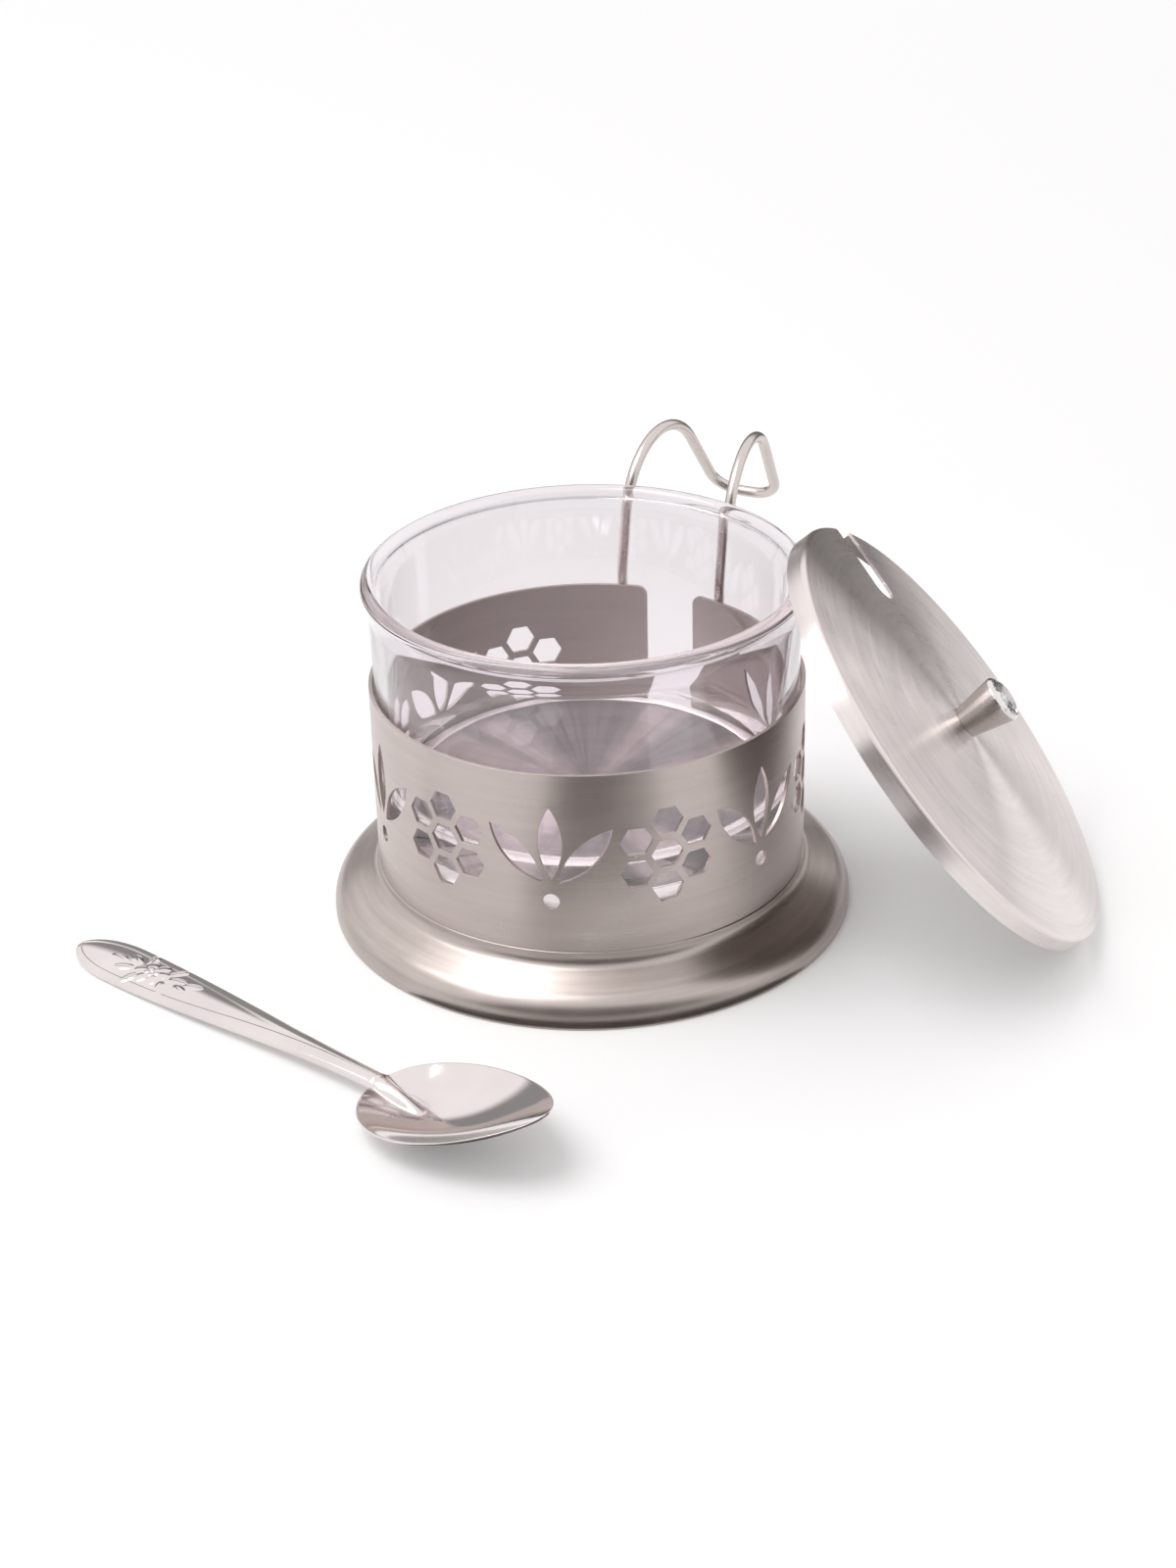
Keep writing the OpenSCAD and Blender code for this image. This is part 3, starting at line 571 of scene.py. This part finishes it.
material, tree, shader = new_material(
    "cut_crystal_glass", Base_Color=(0.99, 0.99, 1, 1), Roughness=0.0, IOR=1.65,
    Transmission_Weight=1.0)
place = add_node(tree, "ShaderNodeTexCoord").outputs["Object"]
polish = noise(tree, place, scale=900.0, detail=2.0)
ruffle(tree, shader, polish, depth=1e-6)
stone.data.materials.append(material)
stone.visible_shadow = False
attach(stone, "lid")
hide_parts("knob_crystal")

# The teaspoon is stamped from one blank of stainless steel and polished. Its crowned handle has a sunk
# field with a blossom and leaves in low relief at its broad end, and a tongue that runs into the bowl.
spoon_len, bowl_len, bowl_w, bowl_depth = 137 * mm, 45 * mm, 33.5 * mm, 5 * mm
handle_w, handle_tip_len, neck_w = 13.4 * mm, 14 * mm, 4.8 * mm
spoon_t, rim_t, handle_crown, tip_rise, rim_sag = 1.2 * mm, 0.6 * mm, 1 * mm, 11.5 * mm, 2 * mm
handle_len, neck_run = spoon_len - bowl_len, bowl_len / 6
spoon_at, spoon_turn = Vector((-113 * mm, -19 * mm, 0)), math.radians(-41.5)
end_cut = 0.02 * mm
# The bowl is widest and deepest a little nearer to the handle, and narrows to its tip
widest_back, deepest_back, bowl_taper = 0.82, 0.85, 0.13
dip_fullness, floor_fullness = 0.9, 1.15
border, near_step, far_step = 1.5 * mm, 0.45 * mm, 1.35 * mm
field_from, field_run, field_taper = 30 * mm, 62 * mm, 0.8
field_depth, field_fade, fade_run = 0.15 * mm, 0.05 * mm, 40 * mm
relief_from, relief_to, relief_fullness = 9.5 * mm, 38 * mm, 0.9
vein_depth, vein_w = 0.4, 0.22
tongue_len, tongue_half, tongue_swell, tongue_narrowing = 12.5 * mm, 2.4 * mm, 0.9, 0.5
# Shares of the rows and columns of the mesh, which lie closest at the ends and in the relief
rows, columns, inner_share, least_share = 380, 96, 0.72, 0.25
tip_rows, relief_rows, handle_rows = 0.14, 0.6, 0.75
spread_from, spread_run, rim_crowding = 4 * mm, 14 * mm, 1.6


def ease(f):
    f = min(max(f, 0), 1)
    return f * f * (3 - 2 * f)


def spoon_half(x):
    """Half the spoon's width, a distance x from the end of its handle."""
    if x < handle_tip_len:
        return handle_w / 2 * math.sqrt(1 - (1 - x / handle_tip_len) ** 2)
    if x < handle_len:
        narrowing = ease((x - handle_tip_len) / (handle_len - handle_tip_len))
        return (handle_w + (neck_w - handle_w) * narrowing) / 2
    f = (x - handle_len) / bowl_len
    bowl = bowl_w / 2 * math.sqrt(math.sin(math.pi * f ** widest_back)) * (1 - bowl_taper * f)
    return max(bowl, neck_w / 2 * (1 - (x - handle_len) / neck_run))


def bowl_dip(f):
    return bowl_depth * math.sin(math.pi * f ** deepest_back) ** dip_fullness


def bowl_rim(f):
    return tip_rise * f - rim_sag * math.sin(math.pi * f)


neck_rise = -min(bowl_rim(i / 200) - bowl_dip(i / 200) for i in range(201))


def middle_height(x, s):
    """Height of the sheet's middle at x, and at a share s of the half width."""
    if x < handle_len:
        return neck_rise * ease(x / handle_len)
    f = (x - handle_len) / bowl_len
    return neck_rise + bowl_rim(f) - bowl_dip(f) * (1 - s * s) ** floor_fullness


def half_sheet(x, s):
    """Half the sheet's thickness, which thins to the bowl's rim and is rounded along every edge."""
    thick = spoon_t / 2
    if x > handle_len:
        towards_rim = 1 - (1 - s * s) * (1 - ((x - handle_len) / bowl_len) ** 8)
        thick += (rim_t - spoon_t) / 2 * towards_rim * ease((x - handle_len) / neck_run)
    radius = 0.8 * thick
    inwards = min((1 - abs(s)) * spoon_half(x), x, spoon_len - x, radius)
    return thick - radius + math.sqrt(radius ** 2 - (radius - inwards) ** 2)


# Petals and leaves of the relief, in millimetres: middle along and across the handle, direction, half
# sizes along and across the leaf, and height
blossom_x = 23.5
relief = [(blossom_x + 2.7 * math.cos(a), 2.4 * math.sin(a), a, 2, 1.6, 0.36)
          for a in (2 * math.pi * k / 6 + 0.2 for k in range(6))]
relief += [(blossom_x + 1.25 * math.cos(a), 1.1 * math.sin(a), a, 1.1, 1, 0.5)
           for a in (2 * math.pi * k / 5 for k in range(5))]
relief += [(blossom_x, 0, 0, 0.6, 0.6, 0.58)]
relief += [(x, y, math.radians(a), 2.5, 1.2, 0.32) for x, y, a in (
    (16.6, 1.9, 150), (16.2, -1.9, 205), (12.8, 0.2, 178), (19.5, 4.0, 112), (20.3, -3.9, 250),
    (28.4, 3.5, 60), (29.2, -3.2, -52), (30.8, 0.9, 12), (33.6, -1.5, -22), (35.2, 1.3, 20))]


def relief_height(x, y):
    """Height of the blossom and its leaves over the field, each leaf with a vein along its middle."""
    x, y = x / mm, y / mm
    top = 0
    for mx, my, a, along, across, high in relief:
        u = (x - mx) * math.cos(a) + (y - my) * math.sin(a)
        v = (y - my) * math.cos(a) - (x - mx) * math.sin(a)
        room = 1 - (u / along) ** 2 - (v / across) ** 2
        if room > 0:
            vein = vein_depth * math.exp(-(v / vein_w) ** 2) if along > 2 else 0
            top = max(top, high * room ** relief_fullness * (1 - vein))
    return top * mm


def field_half(x):
    """Half the width of the handle's sunk field, which narrows towards the neck."""
    return max(0, (spoon_half(x) - border) * (1 - field_taper * ease((x - field_from) / field_run)))


def crown_height(x, s):
    """Height of the handle's crown, field and relief, or of the tongue in the bowl, over the sheet."""
    half = spoon_half(x)
    y = abs(s) * half
    if x > handle_len:
        u = min((x - handle_len) / tongue_len, 1)
        ridge = handle_crown * (1 + tongue_swell * math.sin(math.pi * u)) * (1 - u ** 3)
        return ridge * max(0, 1 - (y / (tongue_half * (1 - tongue_narrowing * u))) ** 2) ** 0.8
    rounded_end = 2 * half / handle_w if x < handle_tip_len else 1
    crown = handle_crown * (1 - s * s) * rounded_end
    depth = field_depth - field_fade * ease((x - field_from) / fade_run)
    sunk = depth * ease((field_half(x) - y) / (near_step if s < 0 else far_step))
    raised = relief_height(x, s * half) if relief_from < x < relief_to else 0
    return crown - sunk + raised


def along_spoon(t):
    """Distance along the spoon of a share t of its rows."""
    if t < tip_rows:
        x = relief_from * (t / tip_rows) ** 2
    elif t < relief_rows:
        x = relief_from + (relief_to - relief_from) * (t - tip_rows) / (relief_rows - tip_rows)
    elif t < handle_rows:
        x = relief_to + (handle_len - relief_to) * (t - relief_rows) / (handle_rows - relief_rows)
    else:
        x = handle_len + bowl_len * (1 - math.cos(math.pi * (t - handle_rows) / (1 - handle_rows))) / 2
    return min(max(x, end_cut), spoon_len - end_cut)


def across_spoon(x, c):
    """Share of the half width at column c: the inner columns end at the field, the outer at the rim."""
    share = max(field_half(x) / spoon_half(x), least_share) if x < handle_len else least_share
    share += (inner_share - share) * ease((x - handle_len + spread_from) / spread_run)
    if abs(c) <= inner_share:
        return share * c / inner_share
    out = (abs(c) - inner_share) / (1 - inner_share)
    return math.copysign(share + (1 - share) * (1 - (1 - out) ** rim_crowding), c)


bm = bmesh.new()
for side in (1, -1):
    for vert in bmesh.ops.create_grid(bm, x_segments=rows, y_segments=columns, size=1)["verts"]:
        x = along_spoon((vert.co.x + 1) / 2)
        s = across_spoon(x, vert.co.y)
        height = side * half_sheet(x, s) + (crown_height(x, s) if side > 0 else 0)
        vert.co = (x, s * spoon_half(x), middle_height(x, s) + height)
bmesh.ops.bridge_loops(bm, edges=[e for e in bm.edges if e.is_boundary])
bmesh.ops.recalc_face_normals(bm, faces=bm.faces)
bmesh.ops.rotate(bm, matrix=Matrix.Rotation(spoon_turn, 3, "Z"), verts=bm.verts)
floor_z = min(v.co.z for v in bm.verts)
bmesh.ops.translate(bm, vec=spoon_at - Vector((0, 0, floor_z)), verts=bm.verts)
spoon = make_piece("teaspoon", bm, crease=70)
spoon.data.materials.append(drawn_steel(
    "polished_spoon_steel", (0.74, 0.69, 0.68), roughness=0.09, speckle=1500, depth=4e-7))
spoon.visible_glossy = False
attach(spoon, "spoon")
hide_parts("spoon")

# The table is a plain white floor that keeps soft shadows. It is a little brighter to the camera and in
# the metal, and less so through the glass, so that it reads as white.
table_half, table_white = 6, (0.86, 0.86, 0.86, 1)
floor_glow, far_glow, glass_dimming = 0.2, 0.34, 0.6
glow_from, glow_to = 0.25, 1.0
bm = bmesh.new()
bmesh.ops.create_grid(bm, x_segments=8, y_segments=8, size=table_half)
table = make_piece("table", bm)
material, tree, shader = new_material("white_table")
tree.nodes.remove(shader)
path = add_node(tree, "ShaderNodeLightPath").outputs
seen = reckon(tree, "MAXIMUM", path["Is Camera Ray"], path["Is Glossy Ray"])
through = reckon(tree, "MULTIPLY_ADD", path["Is Transmission Ray"], -glass_dimming, 1.0)
shown = reckon(tree, "MULTIPLY", seen, through)
place = add_node(tree, "ShaderNodeTexCoord").outputs["Object"]
away = add_node(tree, "ShaderNodeVectorMath", {0: place}, operation="LENGTH").outputs["Value"]
fill = grade(tree, away, given=(glow_from, glow_to), wanted=(floor_glow, far_glow))
level = reckon(tree, "MULTIPLY", shown, fill)
matte = add_node(tree, "ShaderNodeBsdfDiffuse", {"Color": table_white}).outputs[0]
glow = add_node(tree, "ShaderNodeEmission", {"Color": (1, 1, 1, 1), "Strength": level}).outputs[0]
lit = add_node(tree, "ShaderNodeAddShader", {0: matte, 1: glow}).outputs[0]
tree.links.new(lit, tree.nodes["Material Output"].inputs["Surface"])
table.data.materials.append(material)

# Dark sheets lie on the table in front of the dish and far behind it, and a black crescent lies along
# the foot's front, widest a little right of the middle. Only the metal shows them: they are painted
# dark reflections, and the crescent paints the dark band along the foot's lower roll.
cloth_x, cloth_z = 12 * mm, 1 * mm
front_cloth, far_cloth = (-0.798, 0.052, 0.702), (3.2, 6, 2.85)
hem_r, crescent_w, crescent_z = 58.3 * mm, 9 * mm, 0.2 * mm
crescent_middle, crescent_half, crescent_end = math.radians(4), math.radians(48), 0.02
bm = bmesh.new()
for middle_y, half_x, half_y in (front_cloth, far_cloth):
    bmesh.ops.create_grid(bm, x_segments=1, y_segments=1, size=1,
                          matrix=Matrix.Translation((cloth_x, middle_y, cloth_z))
                          @ Matrix.Diagonal((half_x, half_y, 1, 1)))
cloth_corners, cloth_faces = len(bm.verts), len(bm.faces)
start = Matrix.Rotation(crescent_middle - crescent_half, 3, "Z")
hem_edge = [bm.verts.new(start @ Vector((0, -r, crescent_z))) for r in (hem_r, hem_r + crescent_w)]
bmesh.ops.spin(bm, geom=[*hem_edge, bm.edges.new(hem_edge)], cent=(0, 0, 0), axis=(0, 0, 1),
               dvec=(0, 0, 0), angle=2 * crescent_half, steps=48)
for vert in bm.verts[cloth_corners:]:
    if vert.co.xy.length > hem_r + crescent_w / 2:
        u = (math.atan2(vert.co.x, -vert.co.y) - crescent_middle) / crescent_half
        vert.co.xy *= (hem_r + crescent_w * max(1 - u * u, crescent_end)) / vert.co.xy.length
for face in bm.faces[cloth_faces:]:
    face.material_index = 1
cloth = make_piece("reflection_only_sheets", bm)
# Both shades are painted dark reflections, seen only in the metal.
for name, shade in (("dark_reflection_sheet", (0.2, 0.185, 0.18, 1)), ("black_reflection_sheet", (0.07, 0.06, 0.058, 1))):
    material, tree, shader = new_material(name, Base_Color=shade, Roughness=0.9)
    path = add_node(tree, "ShaderNodeLightPath").outputs
    through = reckon(tree, "GREATER_THAN", path["Transmission Depth"], 0.5)
    clear = add_node(tree, "ShaderNodeBsdfTransparent").outputs[0]
    either = add_node(tree, "ShaderNodeMixShader", {
        0: through, 1: shader.outputs[0], 2: clear}).outputs[0]
    tree.links.new(either, tree.nodes["Material Output"].inputs["Surface"])
    cloth.data.materials.append(material)
cloth.visible_camera = cloth.visible_diffuse = False
cloth.visible_transmission = cloth.visible_shadow = False

# The studio is a white tent, bright overhead and at the sides, and dark low down in front and behind,
# where a grey panel stands on the left. Straight to the camera the tent is plain white, and glass shows
# some of that white. One large soft lamp hangs above on the left.
side_lift, front_drop = 0.7, 0.45
dark_horizon, bright_tent = (0.36, (0.16, 0.149, 0.143, 1)), (0.5, (1.12, 1.1, 1.1, 1))
panel_grey, panel_side, panel_back = 0.32, (0.15, 0.02), (0.5, 0.8)
glass_white, matte_strength = 0.4, 0.64
world = bpy.data.worlds.new("studio")
bpy.context.scene.world = world
world.use_nodes = True
tree = world.node_tree
background = tree.nodes["Background"]
facing = add_node(tree, "ShaderNodeTexCoord").outputs["Generated"]
facing = add_node(tree, "ShaderNodeSeparateXYZ", {0: facing}).outputs
aside = reckon(tree, "MULTIPLY", facing["X"], facing["X"])
rise = reckon(tree, "MULTIPLY_ADD", aside, side_lift, facing["Z"])
in_front = reckon(tree, "MINIMUM", facing["Y"], 0.0)
in_front = reckon(tree, "MULTIPLY", in_front, in_front)
rise = reckon(tree, "MULTIPLY_ADD", in_front, -front_drop, rise)
tent = add_node(tree, "ShaderNodeValToRGB", {"Fac": rise})
for element, (position, colour) in zip(tent.color_ramp.elements, (dark_horizon, bright_tent)):
    element.position, element.color = position, colour
beside = grade(tree, facing["X"], given=panel_side, wanted=(0, panel_grey))
behind = grade(tree, facing["Y"], given=panel_back, wanted=(0, 1))
panel = reckon(tree, "MULTIPLY", beside, behind)
walls = add_node(tree, "ShaderNodeVectorMath", {0: tent.outputs["Color"], 1: panel},
                 operation="MAXIMUM").outputs[0]
path = add_node(tree, "ShaderNodeLightPath").outputs
glassy = reckon(tree, "MULTIPLY", path["Is Transmission Ray"], glass_white)
white = reckon(tree, "MAXIMUM", path["Is Camera Ray"], glassy)
sky = add_node(tree, "ShaderNodeMix", {"Factor": white, "A": walls, "B": (1, 1, 1, 1)},
               data_type="RGBA")
tree.links.new(sky.outputs["Result"], background.inputs["Color"])
strength = grade(tree, path["Is Diffuse Ray"], given=(0, 1), wanted=(1, matte_strength))
tree.links.new(strength, background.inputs["Strength"])
lamp_at, lamp_aim = Vector((-0.4, -0.1, 0.9)), Vector((0, 0, 0.04))
lamp_size, lamp_power = 0.6, 4
lamp = bpy.data.lights.new("overhead_soft_lamp", "AREA")
lamp.shape, lamp.size, lamp.size_y, lamp.energy = "RECTANGLE", lamp_size, lamp_size, lamp_power
holder = bpy.data.objects.new("overhead_soft_lamp", lamp)
holder.location = lamp_at
holder.rotation_euler = (lamp_aim - lamp_at).to_track_quat("-Z", "Y").to_euler()
bpy.context.scene.collection.objects.link(holder)

# The camera stands in front and looks down on the table, through a moderately long lens.
lens_px, picture_px, sensor_mm = 2973.5, 1600, 36
look_down, roll = math.radians(28.534), math.radians(-1.454)
camera_at = (-0.000358, -0.56899, 0.33674)
ahead = Vector((0, math.cos(look_down), -math.sin(look_down)))
level, upright = Vector((1, 0, 0)), Vector((0, math.sin(look_down), math.cos(look_down)))
right = math.cos(roll) * level + math.sin(roll) * upright
up = math.cos(roll) * upright - math.sin(roll) * level
view = bpy.data.cameras.new("camera")
view.sensor_width, view.lens = sensor_mm, lens_px / picture_px * sensor_mm
camera = bpy.data.objects.new("camera", view)
turn = Matrix((right, up, -ahead)).transposed().to_4x4()
camera.matrix_world = Matrix.Translation(camera_at) @ turn
bpy.context.scene.collection.objects.link(camera)
bpy.context.scene.camera = camera
bpy.context.scene.view_settings.view_transform = "Standard"
